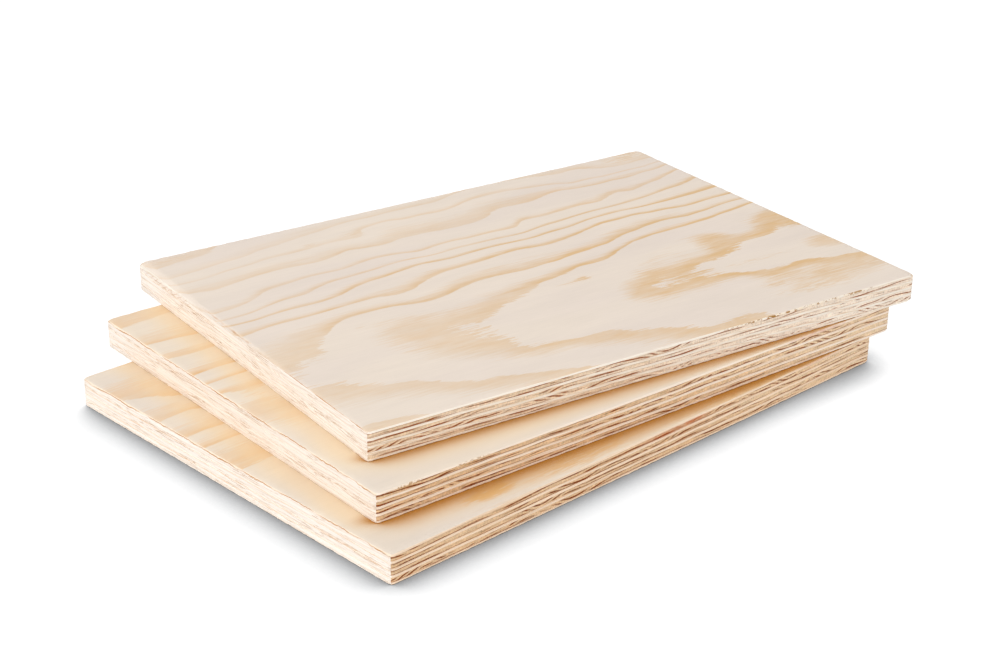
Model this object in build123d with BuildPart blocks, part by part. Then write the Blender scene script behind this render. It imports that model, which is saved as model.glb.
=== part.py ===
from build123d import *
import os

# Three pine plywood sheets lie flat on one another, fanned out a little like cards.
# The origin is the middle of the bottom sheet's lower face, X runs along its long side,
# Y runs across it to the far side, and Z is up. Lengths are in millimetres, turns in degrees.

# One sheet
sheet_length = 400
sheet_width = 280
sheet_thickness = 18
corner_radius = 1.5
arris_radius = 0.8
arris_limit_share = 0.8

# Its veneers, counted up from the lower face: the even ones, faces included, run along the
# sheet, and the odd ones run across it and are nearly twice as thick
ply_count = 9
cross_count = ply_count // 2
face_ply = 1.4
along_ply = 1.45
along_plies = (ply_count - cross_count - 2) * along_ply
cross_ply = (sheet_thickness - 2 * face_ply - along_plies) / cross_count

# How far a saw leaves the end grain of a ply behind the side grain of its neighbours: that
# of the cross plies on the long sides, and of the plies between them on the short ends
cross_ply_setback = 0.4
along_ply_setback = 0.2

# How the upper sheets lie: their turn about Z, and how far their near left corner stands
# in from that of the bottom sheet
middle_turn = -4.5
middle_inset_along = 15
middle_inset_across = 28.5
top_turn = -9.45
top_inset_along = 34
top_inset_across = 57.5

# The left end of the top sheet is rubbed down above: widest at the far corner, and gone
# before the near one
rubbed_run = 5.5
rubbed_drop = 2.2
rubbed_reach_share = 0.8

# A knocked corner loses this much along each side, and this much of its height
knock_run = 6
knock_height = 2.6

# Corners that are knocked: which end (-1 left, 1 right), side (-1 near, 1 far) and face
# (-1 lower, 1 upper), and the share of the run and height above that each has lost
bottom_knock_shares = [
    (-1, 1, 1, 0.6),
    (1, -1, -1, 0.7),
    (1, 1, 1, 0.4),
    (-1, -1, 1, 0.25),
]
middle_knock_shares = [
    (-1, 1, 1, 0.7),
    (1, -1, -1, 0.6),
    (1, 1, -1, 0.5),
    (-1, -1, -1, 0.25),
]
top_knock_shares = [
    (1, -1, 1, 0.8),
    (1, -1, -1, 0.8),
    (1, 1, 1, 0.4),
    (-1, -1, 1, 0.3),
]


def seat_plane(level, turn, inset_along, inset_across):
    """Plane of a sheet's lower face, with its origin at the middle of that face."""
    middle = Vector(sheet_length / 2, sheet_width / 2)
    inset = Vector(inset_along, inset_across, level * sheet_thickness)
    centre = inset - middle + middle.rotate(Axis.Z, turn)
    return Plane(centre, x_dir=Vector(1, 0, 0).rotate(Axis.Z, turn), z_dir=(0, 0, 1))


def cut_beyond(seat, first, second, third):
    """Cuts off what lies beyond the plane of three points, given in a sheet's own frame."""
    start = Vector(first)
    normal = (Vector(second) - start).cross(Vector(third) - start)
    if normal.dot(start) < 0:
        normal = -normal
    edge = Plane(start, z_dir=normal)
    split(bisect_by=Plane(seat.location * edge.location), keep=Keep.BOTTOM)


def knock_corners(seat, knock_shares):
    """Takes a flat three-sided chip off each knocked corner."""
    for end, side, face, share in knock_shares:
        x, y = end * sheet_length / 2, side * sheet_width / 2
        z = sheet_thickness * (1 + face) / 2
        run, height = share * knock_run, share * knock_height
        cut_beyond(
            seat,
            (x - end * run, y, z),
            (x, y - side * run, z),
            (x, y, z - face * height),
        )


def rub_left_end(seat):
    """Wears the upper arris of a sheet's left end down in a long taper."""
    end, far = -sheet_length / 2, sheet_width / 2
    cut_beyond(
        seat,
        (end + rubbed_run, far, sheet_thickness),
        (end, far, sheet_thickness - rubbed_drop),
        (end, far - rubbed_reach_share * sheet_width, sheet_thickness),
    )


# A sheet as it left the saw: the plies built up from the lower face as one glued piece,
# with the faces flush and the end grain of the plies between them set back
with BuildPart() as sawn_sheet:
    level = 0
    for ply in range(ply_count):
        length, width, thickness = sheet_length, sheet_width, face_ply
        if ply % 2:
            width, thickness = sheet_width - 2 * cross_ply_setback, cross_ply
        elif 0 < ply < ply_count - 1:
            length, thickness = sheet_length - 2 * along_ply_setback, along_ply
        with BuildSketch(Plane.XY.offset(level)):
            RectangleRounded(length, width, corner_radius)
        extrude(amount=thickness)
        level += thickness
    layers = sawn_sheet.edges().group_by(Axis.Z)
    arris_limit = arris_limit_share * min(face_ply, corner_radius)
    fillet(layers[0] + layers[-1], radius=min(arris_radius, arris_limit))

bottom_seat = seat_plane(0, 0, 0, 0)
middle_seat = seat_plane(1, middle_turn, middle_inset_along, middle_inset_across)
top_seat = seat_plane(2, top_turn, top_inset_along, top_inset_across)

with BuildPart(bottom_seat) as bottom_sheet:
    add(sawn_sheet.part)
    knock_corners(bottom_seat, bottom_knock_shares)
bottom_sheet.part.label = "bottom_sheet"

with BuildPart(middle_seat) as middle_sheet:
    add(sawn_sheet.part)
    knock_corners(middle_seat, middle_knock_shares)
middle_sheet.part.label = "middle_sheet"

with BuildPart(top_seat) as top_sheet:
    add(sawn_sheet.part)
    rub_left_end(top_seat)
    knock_corners(top_seat, top_knock_shares)
top_sheet.part.label = "top_sheet"

os.makedirs("parts", exist_ok=True)
export_step(bottom_sheet.part, "parts/bottom_sheet.step")
export_step(middle_sheet.part, "parts/middle_sheet.step")
export_step(top_sheet.part, "parts/top_sheet.step")
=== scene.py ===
"""Three pine plywood sheets in a fanned stack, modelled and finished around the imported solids.

Each sheet is modelled again with its nine veneers stepped on the edges, its worn corners and
its torn end grain, and takes a finish that is worked out through the whole thickness, so that
a worn edge shows the veneer that lies below it. Sizes are in millimetres, turned to metres
where a mesh is made.
"""

import logging
import math
from dataclasses import dataclass, field, replace
from enum import Enum
from typing import Any, Callable, NamedTuple

import bmesh
import bpy
import numpy as np
from mathutils import Matrix, Vector


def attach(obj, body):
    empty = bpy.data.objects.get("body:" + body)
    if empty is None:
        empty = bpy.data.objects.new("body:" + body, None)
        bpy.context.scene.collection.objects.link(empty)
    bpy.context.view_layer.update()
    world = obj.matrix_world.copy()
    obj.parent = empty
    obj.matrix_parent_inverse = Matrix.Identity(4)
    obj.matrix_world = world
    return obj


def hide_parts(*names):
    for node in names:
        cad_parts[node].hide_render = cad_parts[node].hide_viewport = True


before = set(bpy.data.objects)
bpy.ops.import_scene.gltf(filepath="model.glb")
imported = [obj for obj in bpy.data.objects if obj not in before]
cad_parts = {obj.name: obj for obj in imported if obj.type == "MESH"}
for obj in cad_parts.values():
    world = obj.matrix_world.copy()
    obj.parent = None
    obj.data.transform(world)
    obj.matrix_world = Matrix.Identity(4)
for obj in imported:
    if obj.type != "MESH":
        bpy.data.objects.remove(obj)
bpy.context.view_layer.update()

MM = 0.001
BODY = "root"
PLACE_ATTRIBUTE = "board"
RING_ATTRIBUTE = "rings"
MARK_ATTRIBUTE = "marks"
UNDRAWN_YEAR = (0.7, 0.3)
SMOOTH = {"interpolation_type": "SMOOTHSTEP"}
COLOUR = {"data_type": "RGBA"}

log = logging.getLogger("plywood_stack")


def linear(hex_colour: str) -> tuple[float, float, float, float]:
    """Turns an sRGB hex colour into the linear colour that a socket takes.

    Args:
        hex_colour: The colour as "#rrggbb".

    Returns:
        Red, green, blue and a full alpha.
    """
    parts = [int(hex_colour[i:i + 2], 16) / 255 for i in (1, 3, 5)]
    red, green, blue = (
        c / 12.92 if c <= 0.04045 else ((c + 0.055) / 1.055) ** 2.4 for c in parts
    )
    return red, green, blue, 1.0


class Wiring:
    """A node tree that is wired up from nothing, of a material or of the world."""

    def __init__(self, owner: bpy.types.Material | bpy.types.World) -> None:
        """Takes the owner's node tree and empties it."""
        owner.use_nodes = True
        self.tree = owner.node_tree
        self.tree.nodes.clear()

    def add(self, kind: str, *values: Any, named: dict[str, Any] | None = None,
            **settings: Any) -> bpy.types.Node:
        """Adds a shader node, with its settings and its links.

        Args:
            kind: The node's type, without its ShaderNode prefix.
            *values: For its shown inputs in turn, a value, the output to link from, or the
                node whose result it takes.
            named: The same for inputs that are given by name.
            **settings: Properties of the node itself.

        Returns:
            The new node.
        """
        node = self.tree.nodes.new("ShaderNode" + kind)
        for name, value in settings.items():
            setattr(node, name, value)
        given = list(zip((socket for socket in node.inputs if socket.enabled), values))
        given += [(node.inputs[name], value) for name, value in (named or {}).items()]
        for socket, value in given:
            if isinstance(value, bpy.types.Node):
                value = next(output for output in value.outputs if output.enabled)
            if isinstance(value, bpy.types.NodeSocket):
                self.tree.links.new(value, socket)
            else:
                socket.default_value = value
        return node


class Grain(Enum):
    """Which way a veneer's fibres run."""

    ALONG = 0
    ACROSS = 1


class Element(Enum):
    """What is selected in edit mode."""

    VERT = "verts"
    EDGE = "edges"
    FACE = "faces"


class Stain(Enum):
    """What a mark on the wood is, and which part of the marks attribute holds it."""

    RESIN = 0
    TICKS = 1
    BLUSH = 2


class Ply(NamedTuple):
    """One veneer of the sheet: its lower and upper level in millimetres, and its grain."""

    lower: float
    upper: float
    grain: Grain


class Ring(NamedTuple):
    """One turn round the sheet: how far it stands in on each axis, and its level."""

    inset_along: float
    inset_across: float
    level: float


class Modeller:
    """Edit-mode work on one object, with the operators that a hand would use."""

    def __init__(self, thing: bpy.types.Object) -> None:
        """Takes the object that the operators act on."""
        self.thing = thing

    def enter(self) -> None:
        """Makes the object the only one selected and opens it for editing."""
        bpy.ops.object.select_all(action="DESELECT")
        self.thing.select_set(True)
        bpy.context.view_layer.objects.active = self.thing
        bpy.ops.object.mode_set(mode="EDIT")

    def leave(self) -> None:
        """Closes the object again."""
        bpy.ops.object.mode_set(mode="OBJECT")

    def select(self, element: Element, test: Callable[[Any], bool]) -> None:
        """Selects the vertices, edges or faces that pass a test, and nothing else.

        Args:
            element: What is tested.
            test: Says for one of them whether it is wanted.
        """
        bpy.ops.mesh.select_mode(type=element.name)
        bpy.ops.mesh.select_all(action="DESELECT")
        mesh = bmesh.from_edit_mesh(self.thing.data)
        for item in getattr(mesh, element.value):
            if test(item):
                item.select_set(True)
        mesh.select_flush_mode()
        bmesh.update_edit_mesh(self.thing.data, loop_triangles=False, destructive=False)

    def select_border(self) -> None:
        """Selects the open border, and nothing else."""
        self.select(Element.EDGE, lambda edge: edge.is_boundary)

    def apply_modifier(self, name: str, kind: str, **settings: Any) -> None:
        """Adds a modifier with its settings and applies it."""
        modifier = self.thing.modifiers.new(name, kind)
        for key, value in settings.items():
            setattr(modifier, key, value)
        bpy.context.view_layer.objects.active = self.thing
        bpy.ops.object.modifier_apply(modifier=name)


@dataclass
class SawnSheet:
    """A sheet as it left the saw, lying flat with the middle of its lower face at the origin."""

    length: float = 400
    width: float = 280
    thickness: float = 18
    corner_radius: float = 1.5
    corner_draw_share: float = 0.4
    corner_reach_share: float = 1.8
    arris_radius: float = 0.8
    lower_arris_radius: float = 0.35
    arris_steps: int = 3
    ply_count: int = 9
    face_ply: float = 1.4
    along_ply: float = 1.45
    cross_setback: float = 0.4
    along_setback: float = 0.2
    glue_step: float = 0.1
    row_height: float = 0.9
    rim_insets: tuple[float, ...] = (6.5, 4.0, 2.2)
    cap_cell: float = 3.0
    cuts_per_cell: int = 2

    def plies(self) -> list[Ply]:
        """Works out the veneers from the lower face up.

        Returns:
            The nine plies, of which every second one runs across.
        """
        cross_count = self.ply_count // 2
        inner_along = (self.ply_count - cross_count - 2) * self.along_ply
        cross_ply = (self.thickness - 2 * self.face_ply - inner_along) / cross_count
        plies: list[Ply] = []
        level = 0.0
        for number in range(self.ply_count):
            grain = Grain(number % 2)
            height = cross_ply if grain is Grain.ACROSS else self.along_ply
            if number in (0, self.ply_count - 1):
                height = self.face_ply
            plies.append(Ply(level, level + height, grain))
            level += height
        return plies

    def rings(self) -> list[Ring]:
        """Lists the turns round the edge, from the upper arris down to the lower one.

        Returns:
            The rings in the order in which they are extruded.
        """
        rings = [
            Ring(ring.inset_along, ring.inset_across, self.thickness - ring.level)
            for ring in self._arris(self.arris_radius)
        ]
        plies = self.plies()
        half_step = self.glue_step / 2
        for number, ply in reversed(list(enumerate(plies))):
            along = self.along_setback if ply.grain is Grain.ALONG else 0.0
            across = self.cross_setback if ply.grain is Grain.ACROSS else 0.0
            upper, lower = ply.upper - half_step, ply.lower + half_step
            if number == self.ply_count - 1:
                along, upper = 0.0, self.thickness - self.arris_radius
            if number == 0:
                along, lower = 0.0, self.lower_arris_radius
            rows = max(1, round((upper - lower) / self.row_height))
            first = 1 if number == self.ply_count - 1 else 0
            last = rows - 1 if number == 0 else rows
            for row in range(first, last + 1):
                rings.append(Ring(along, across, upper + (lower - upper) * row / rows))
        rings += reversed(self._arris(self.lower_arris_radius))
        return rings

    def _arris(self, radius: float) -> list[Ring]:
        """Steps round an arris of this radius, from the face to the edge."""
        turns = [math.radians(90 * step / self.arris_steps) for step in range(self.arris_steps + 1)]
        insets = [radius * (1 - math.sin(turn)) for turn in turns]
        return [
            Ring(inset, inset, radius * (1 - math.cos(turn))) for inset, turn in zip(insets, turns)
        ]

    def build(self, name: str) -> bpy.types.Object:
        """Models the sheet: a gridded upper face, turned down over the edge ring by ring.

        Args:
            name: The object's name.

        Returns:
            The closed sheet.
        """
        rim = self.rim_insets
        cap = (self.length - 2 * rim[0], self.width - 2 * rim[0])
        cells = [round(side / self.cap_cell) for side in cap]
        bpy.ops.object.select_all(action="DESELECT")
        bpy.ops.mesh.primitive_grid_add(
            x_subdivisions=cells[0], y_subdivisions=cells[1], size=1,
            location=(0, 0, self.thickness * MM),
        )
        sheet = bpy.context.active_object
        sheet.name = sheet.data.name = name
        sheet.scale = (cap[0] * MM, cap[1] * MM, 1)
        bpy.ops.object.transform_apply(location=True, rotation=True, scale=True)
        hand = Modeller(sheet)
        hand.enter()
        hand.select_border()
        here = Ring(rim[0], rim[0], self.thickness)
        for inset in rim[1:]:
            here = self._turn(here, Ring(inset, inset, self.thickness))
            if inset == rim[1]:
                bpy.ops.mesh.subdivide(number_cuts=self.cuts_per_cell)
                hand.select_border()
        rings = self.rings()
        here = self._turn(here, rings[0])
        self._round_corners(hand, rings[0])
        for ring in rings[1:]:
            here = self._turn(here, ring)
        for inset in reversed(rim):
            here = self._turn(here, Ring(inset, inset, 0))
        bpy.ops.mesh.edge_face_add()
        bpy.ops.mesh.select_all(action="SELECT")
        bpy.ops.mesh.normals_make_consistent(inside=False)
        hand.leave()
        return sheet

    def _turn(self, here: Ring, there: Ring) -> Ring:
        """Extrudes the open border from one ring to the next.

        Args:
            here: The ring that the border lies on.
            there: The ring that it goes to.

        Returns:
            The ring that the border lies on now.
        """
        sink = (there.level - here.level) * MM
        bpy.ops.mesh.extrude_edges_move(TRANSFORM_OT_translate={"value": (0, 0, sink)})
        along = (self.length - 2 * there.inset_along) / (self.length - 2 * here.inset_along)
        across = (self.width - 2 * there.inset_across) / (self.width - 2 * here.inset_across)
        bpy.ops.transform.resize(value=(along, across, 1), center_override=(0, 0, 0))
        return there

    def _round_corners(self, hand: Modeller, ring: Ring) -> None:
        """Draws the border's four corners in to the corner radius, and takes the border up again.

        Args:
            hand: The modeller that holds the sheet.
            ring: The ring that the border lies on.
        """
        draw = self.corner_draw_share * self.corner_radius
        half_along = self.length / 2 - ring.inset_along
        half_across = self.width / 2 - ring.inset_across
        slack = 0.1
        hand.select(
            Element.VERT,
            lambda vert: vert.is_boundary
            and abs(vert.co.x) > (half_along - slack) * MM
            and abs(vert.co.y) > (half_across - slack) * MM,
        )
        bpy.ops.transform.resize(
            value=((half_along - draw) / half_along, (half_across - draw) / half_across, 1),
            center_override=(0, 0, 0), use_proportional_edit=True,
            proportional_edit_falloff="SMOOTH",
            proportional_size=self.corner_reach_share * self.corner_radius * MM,
        )
        hand.select_border()


@dataclass(frozen=True)
class Seat:
    """How a sheet lies in the stack: its turn in degrees, and its near left corner's inset."""

    level: int
    turn: float = 0.0
    inset_along: float = 0.0
    inset_across: float = 0.0

    def matrix(self, blank: SawnSheet) -> Matrix:
        """Works out where the sheet's own frame lies, in metres.

        Args:
            blank: The sheet that is seated.

        Returns:
            The move and turn from the sheet's frame to the stack's.
        """
        turn = Matrix.Rotation(math.radians(self.turn), 4, "Z")
        middle = Vector((blank.length / 2, blank.width / 2, 0))
        corner = Vector((self.inset_along, self.inset_across, self.level * blank.thickness))
        return Matrix.Translation((corner - middle + turn @ middle) * MM) @ turn


@dataclass(frozen=True)
class Knock:
    """A corner that a knock has flattened: which end, side and face, and how much it has lost."""

    end: int
    side: int
    face: int
    share: float
    run: float = 6.0
    height: float = 2.6

    def points(self, blank: SawnSheet) -> list[Vector]:
        """Gives three points of the flat that the knock left, in millimetres.

        Args:
            blank: The sheet that was knocked.

        Returns:
            The points in the sheet's own frame.
        """
        x, y = self.end * blank.length / 2, self.side * blank.width / 2
        z = blank.thickness * (1 + self.face) / 2
        run, height = self.share * self.run, self.share * self.height
        return [
            Vector((x - self.end * run, y, z)),
            Vector((x, y - self.side * run, z)),
            Vector((x, y, z - self.face * height)),
        ]


@dataclass(frozen=True)
class RubbedEnd:
    """The long taper that is rubbed off the upper arris of a sheet's left end."""

    run: float = 5.5
    drop: float = 2.2
    reach_share: float = 0.8

    def points(self, blank: SawnSheet) -> list[Vector]:
        """Gives three points of the rubbed flat, in millimetres.

        Args:
            blank: The sheet that was rubbed.

        Returns:
            The points in the sheet's own frame.
        """
        end, far, top = -blank.length / 2, blank.width / 2, blank.thickness
        return [
            Vector((end + self.run, far, top)),
            Vector((end, far, top - self.drop)),
            Vector((end, far - self.reach_share * blank.width, top)),
        ]


@dataclass(frozen=True)
class GrowthLine:
    """Where one year's dark wood ends on a face.

    The points are along and across the sheet from its near left corner, in millimetres.
    Strength is how dark the band is, and share how much of the year's width it takes.
    """

    year: int
    strength: float
    share: float
    points: tuple[tuple[float, float], ...]


@dataclass(frozen=True)
class Mark:
    """A soft-edged spot on a sheet: its middle from the near left corner, and how far it goes.

    Both are along, across and up, in millimetres.
    """

    stain: Stain
    middle: tuple[float, float, float]
    reach: tuple[float, float, float]
    strength: float = 1.0
    firmness: float = 1.6

    def weights(self, places: np.ndarray) -> np.ndarray:
        """Says how strong the mark is at each place.

        Args:
            places: Points along, across and up from the near left corner, in millimetres.

        Returns:
            The weights, from 0 outside the mark.
        """
        away = np.sqrt((((places - self.middle) / self.reach) ** 2).sum(axis=1))
        return self.strength * np.clip(self.firmness * (1 - away), 0, 1)


def face_blushes(*spots: tuple[float, float, float, float, float]) -> tuple[Mark, ...]:
    """Makes blushes on the upper face.

    Args:
        *spots: For each its middle along and across, its reach along and across, and its
            strength.

    Returns:
        The marks.
    """
    return tuple(
        Mark(Stain.BLUSH, (x, y, SawnSheet.thickness), (along, across, 2), strength)
        for x, y, along, across, strength in spots
    )


@dataclass(frozen=True)
class FaceFigure:
    """The figure of a sheet's upper face, drawn as the lines where each year's growth ends.

    Each hint is a point with its year and fraction, for where the lines alone say too little.
    """

    lines: tuple[GrowthLine, ...]
    hints: tuple[tuple[float, float, float], ...] = ()
    stiffness: float = 0.002
    unit: float = 100.0
    slope_step: float = 1.0
    least_slope: float = 0.001

    def years(self, places: np.ndarray) -> np.ndarray:
        """Spreads the years over the face, like a thin plate bent through the lines' points.

        Args:
            places: Points along and across from the near left corner, in millimetres.

        Returns:
            The year at each point, with its fraction.
        """
        drawn = [(x, y, line.year) for line in self.lines for x, y in line.points]
        knots = np.array(drawn + list(self.hints), float)
        where, year = knots[:, :2] / self.unit, knots[:, 2]
        count = len(knots)
        flat = np.column_stack((np.ones(count), where))
        system = np.zeros((count + 3, count + 3))
        system[:count, :count] = self._bend(where, where) + self.stiffness * np.eye(count)
        system[:count, count:] = flat
        system[count:, :count] = flat.T
        weights = np.linalg.solve(system, np.concatenate((year, np.zeros(3))))
        asked = places / self.unit
        plane = np.column_stack((np.ones(len(asked)), asked)) @ weights[count:]
        return self._bend(asked, where) @ weights[:count] + plane

    def widths(self, places: np.ndarray) -> np.ndarray:
        """Gives the width of the year's ring at each place, in millimetres.

        Args:
            places: Points along and across from the near left corner, in millimetres.

        Returns:
            The widths.
        """
        here = self.years(places)
        steps = np.eye(2) * self.slope_step
        slopes = [(self.years(places + step) - here) / self.slope_step for step in steps]
        return 1 / np.maximum(np.hypot(*slopes), self.least_slope)

    @staticmethod
    def _bend(here: np.ndarray, there: np.ndarray) -> np.ndarray:
        """Gives a thin plate's answer at each place to a push at each other place."""
        gap = ((here[:, None, :] - there[None, :, :]) ** 2).sum(axis=2)
        return gap * np.log(gap + 1e-12)


TOP_FIGURE = FaceFigure(
    lines=(
        GrowthLine(0, 0.5, 0.5, ((0, 262), (22, 266), (40, 268), (58, 279))),
        GrowthLine(1, 0.3, 0.4, (
            (0, 243), (30, 247), (60, 251), (85, 257), (110, 262), (165, 268), (218, 269),
            (300, 274), (338, 270), (350, 264), (364, 260), (384, 261), (400, 262))),
        GrowthLine(2, 0.35, 0.26, (
            (0, 232), (40, 236), (70, 240), (115, 242), (142, 241), (149, 252), (170, 256),
            (182, 252), (195, 253), (235, 258), (270, 260), (290, 256), (318, 248), (345, 247),
            (380, 248), (400, 251))),
        GrowthLine(3, 0.5, 0.45, (
            (0, 217), (60, 220), (110, 221), (122, 225), (160, 224), (190, 223), (218, 223),
            (232, 227), (242, 234), (270, 234), (285, 238), (303, 241), (320, 238), (345, 238),
            (375, 240), (400, 244))),
        GrowthLine(4, 0.5, 0.24, (
            (0, 181), (15, 182), (28, 185), (38, 190), (46, 195), (60, 197), (100, 199),
            (160, 199), (200, 201), (238, 201), (246, 208), (262, 207), (285, 209), (312, 209),
            (325, 215), (334, 217), (345, 214), (358, 218), (375, 222), (388, 227), (400, 231))),
        GrowthLine(5, 0.6, 0.26, (
            (0, 169), (22, 170), (36, 174), (50, 177), (66, 178), (74, 182), (90, 186),
            (120, 188), (180, 190), (235, 189), (262, 193), (290, 196), (325, 197), (350, 200),
            (365, 203), (385, 206), (400, 211))),
        GrowthLine(6, 0.8, 0.3, (
            (0, 160), (30, 161), (65, 162), (82, 165), (96, 171), (108, 174), (125, 176),
            (150, 180), (200, 180), (245, 180), (270, 182), (292, 186), (330, 185), (350, 185),
            (375, 186), (400, 189))),
        GrowthLine(7, 0.8, 0.3, (
            (0, 142), (8, 144), (22, 147), (60, 148), (110, 147), (126, 150), (137, 156),
            (152, 161), (172, 163), (195, 165), (215, 167), (258, 167), (272, 171), (288, 175),
            (315, 176), (340, 173), (375, 172), (400, 173), (0, 9), (18, 7), (34, 4))),
        GrowthLine(8, 0.8, 0.36, (
            (400, 160), (365, 157), (345, 155), (315, 156), (300, 153), (285, 150), (272, 145),
            (250, 142), (225, 138), (200, 136), (150, 135), (100, 133), (66, 133), (52, 125),
            (42, 116), (33, 104), (30, 97), (14, 91), (4, 84), (0, 64), (12, 60), (27, 52),
            (45, 43), (56, 40), (68, 31), (84, 21), (98, 19), (120, 12), (136, 7), (150, 1))),
        GrowthLine(9, 0.85, 0.32, (
            (400, 151), (365, 146), (345, 143), (305, 141), (285, 138), (270, 132), (260, 126),
            (230, 123), (213, 118), (196, 115), (183, 107), (166, 102), (150, 95), (138, 88),
            (124, 82), (121, 76), (128, 68), (133, 60), (130, 50), (133, 43), (150, 41),
            (172, 37), (188, 36), (198, 29), (214, 24), (228, 17), (242, 8), (262, 9), (285, 3))),
        GrowthLine(10, 1.0, 0.24, (
            (400, 103), (375, 102), (350, 100), (335, 92), (318, 87), (300, 87), (290, 82),
            (270, 79), (256, 76), (253, 72), (268, 69), (290, 68), (303, 66), (312, 61),
            (325, 57), (345, 55), (370, 53), (388, 49), (400, 46))),
    ),
    hints=(
        (229, 73, 9.74), (248, 89, 9.74), (285, 93, 9.74), (262, 56, 9.74), (308, 56, 9.76),
        (350, 46, 9.74), (335, 115, 9.93), (328, 105, 9.93), (322, 120, 9.8), (312, 108, 9.6),
        (385, 118, 9.95), (395, 125, 9.93), (362, 118, 9.62), (352, 120, 9.55),
        (330, 36, 9.74), (328, 26, 9.74), (352, 33, 9.84), (385, 30, 9.8), (396, 36, 9.84),
        (370, 20, 9.7), (345, 14, 9.5), (305, 20, 9.5), (290, 35, 9.35), (390, 8, 9.5),
        (222, 107, 9.1), (205, 99, 9.08), (190, 70, 9.3),
        (340, 76, 10.3), (384, 68, 10.76), (398, 70, 10.9), (60, 75, 8.45), (150, 15, 8.2),
    ),
)

MIDDLE_FIGURE = FaceFigure(
    lines=(
        GrowthLine(1, 0.8, 0.6, ((0, 262), (40, 266), (140, 268), (270, 262), (400, 258))),
        GrowthLine(2, 0.7, 0.5, (
            (0, 231), (22, 229), (40, 226), (150, 230), (280, 234), (400, 226))),
        GrowthLine(3, 0.65, 0.35, ((0, 207), (40, 206), (160, 208), (290, 212), (400, 203))),
        GrowthLine(4, 0.85, 0.4, ((0, 178), (40, 178), (150, 182), (290, 188), (400, 180))),
        GrowthLine(5, 0.7, 0.35, ((0, 163), (40, 164), (150, 164), (280, 170), (400, 162))),
        GrowthLine(6, 0.7, 0.35, (
            (0, 148), (40, 149), (150, 146), (260, 150), (330, 142), (352, 120), (330, 98),
            (250, 84), (140, 110), (60, 130), (20, 134), (0, 135))),
    ),
    hints=(
        (0, 90, 5.5), (0, 40, 5.3), (0, 0, 5.15), (200, 0, 5.2), (400, 0, 5.1), (200, 40, 5.4),
        (40, 20, 5.25), (400, 100, 5.8), (220, 118, 6.25),
    ),
)

BOTTOM_FIGURE = FaceFigure(
    lines=(
        GrowthLine(1, 0.9, 0.5, (
            (0, 238), (10, 233), (20, 227), (40, 212), (120, 214), (260, 222), (400, 214))),
        GrowthLine(2, 0.8, 0.5, (
            (0, 200), (24, 201), (80, 190), (180, 196), (300, 200), (400, 190))),
        GrowthLine(3, 0.8, 0.55, (
            (0, 174), (24, 174), (90, 172), (220, 178), (330, 172), (400, 168))),
        GrowthLine(4, 0.75, 0.5, ((0, 157), (24, 157), (100, 154), (240, 152), (400, 150))),
        GrowthLine(5, 0.95, 0.6, (
            (0, 123), (22, 124), (110, 122), (220, 116), (330, 124), (400, 118))),
    ),
    hints=(
        (0, 90, 5.25), (0, 0, 5.45), (200, 60, 5.45), (200, 0, 5.6), (400, 0, 5.4),
        (400, 60, 5.35), (85, 30, 5.6), (0, 270, 0.2), (30, 262, 0.35),
    ),
)


TOP_MARKS = face_blushes(
    (222, 107, 9, 3.4, 1.0), (213, 105, 14, 2.2, 0.7), (106, 246, 10, 5, 0.45),
    (138, 248, 14, 7, 0.5), (214, 240, 8, 3, 0.4), (262, 242, 30, 7, 0.35),
    (20, 272, 34, 8, 0.5), (385, 270, 40, 14, 0.5), (70, 118, 14, 3, 0.3),
    (150, 104, 18, 6, 0.5), (272, 104, 12, 4, 0.35), (318, 36, 16, 5, 0.7),
    (345, 22, 50, 12, 0.55), (385, 32, 30, 14, 0.6), (330, 108, 24, 10, 0.6),
    (390, 112, 26, 12, 0.7), (260, 84, 34, 9, 0.6), (282, 75, 28, 4.5, 1.0),
    (330, 72, 50, 4, 0.35),
) + (
    Mark(Stain.TICKS, (0, 242, 15), (6, 42, 2.6), 0.45),
    Mark(Stain.TICKS, (290, 0, 17.2), (62, 4, 1.7), 1.0),
    Mark(Stain.TICKS, (345, 0, 17.4), (26, 4, 1.2), 0.9),
)

MIDDLE_MARKS = (
    Mark(Stain.TICKS, (20, 0, 16.8), (14, 4, 1.6), 0.7),
    Mark(Stain.TICKS, (62, 0, 16.8), (16, 4, 1.6), 0.7),
    Mark(Stain.RESIN, (335, 0, 17.4), (36, 6, 1.2), 0.5),
)

BOTTOM_MARKS = face_blushes((83, 14, 28, 9, 1.0), (150, 10, 64, 12, 0.65)) + (
    Mark(Stain.RESIN, (212, 0, 15.2), (32, 6, 1.8), 0.7),
    Mark(Stain.RESIN, (232, 0, 15.4), (15, 6, 1.8), 1.0),
    Mark(Stain.RESIN, (345, 0, 17.4), (30, 4, 1.0), 0.4),
)


class Noise(NamedTuple):
    """Noise drawn out to a size of its own on each axis, in millimetres.

    An axis is one of a site's, or a number that keeps two kinds of noise apart. Patches of the
    noise rise between the two values of its rim.
    """

    axes: tuple[str | float, str | float, str | float]
    sizes: tuple[float, float, float]
    detail: float = 2.0
    roughness: float = 0.5
    rim: tuple[float, float] = (-0.08, 0.08)


# How the rings wander in the covered plies, and where they cross them in short strokes
RING_SWING = Noise(("along", "over", 0.0), (420.0, 100.0, 1.0))
HATCH_ZONE = Noise(("along", "over", 31.0), (500.0, 120.0, 1.0), 1.0)
HATCH_SWING = Noise(("along", "over", 57.0), (420.0, 52.0, 1.0), 1.0)

# The feathered ends of the flames, each with its share of a year
FEATHERS = (
    (Noise(("along", "over", "z"), (24.0, 1.1, 5.0), 3.0, 0.6), 0.20),
    (Noise(("along", "over", "z"), (9.0, 2.6, 5.0), 3.0, 0.6), 0.12),
    (Noise(("along", "over", "z"), (70.0, 6.0, 9.0), 3.0, 0.6), 0.12),
)

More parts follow.
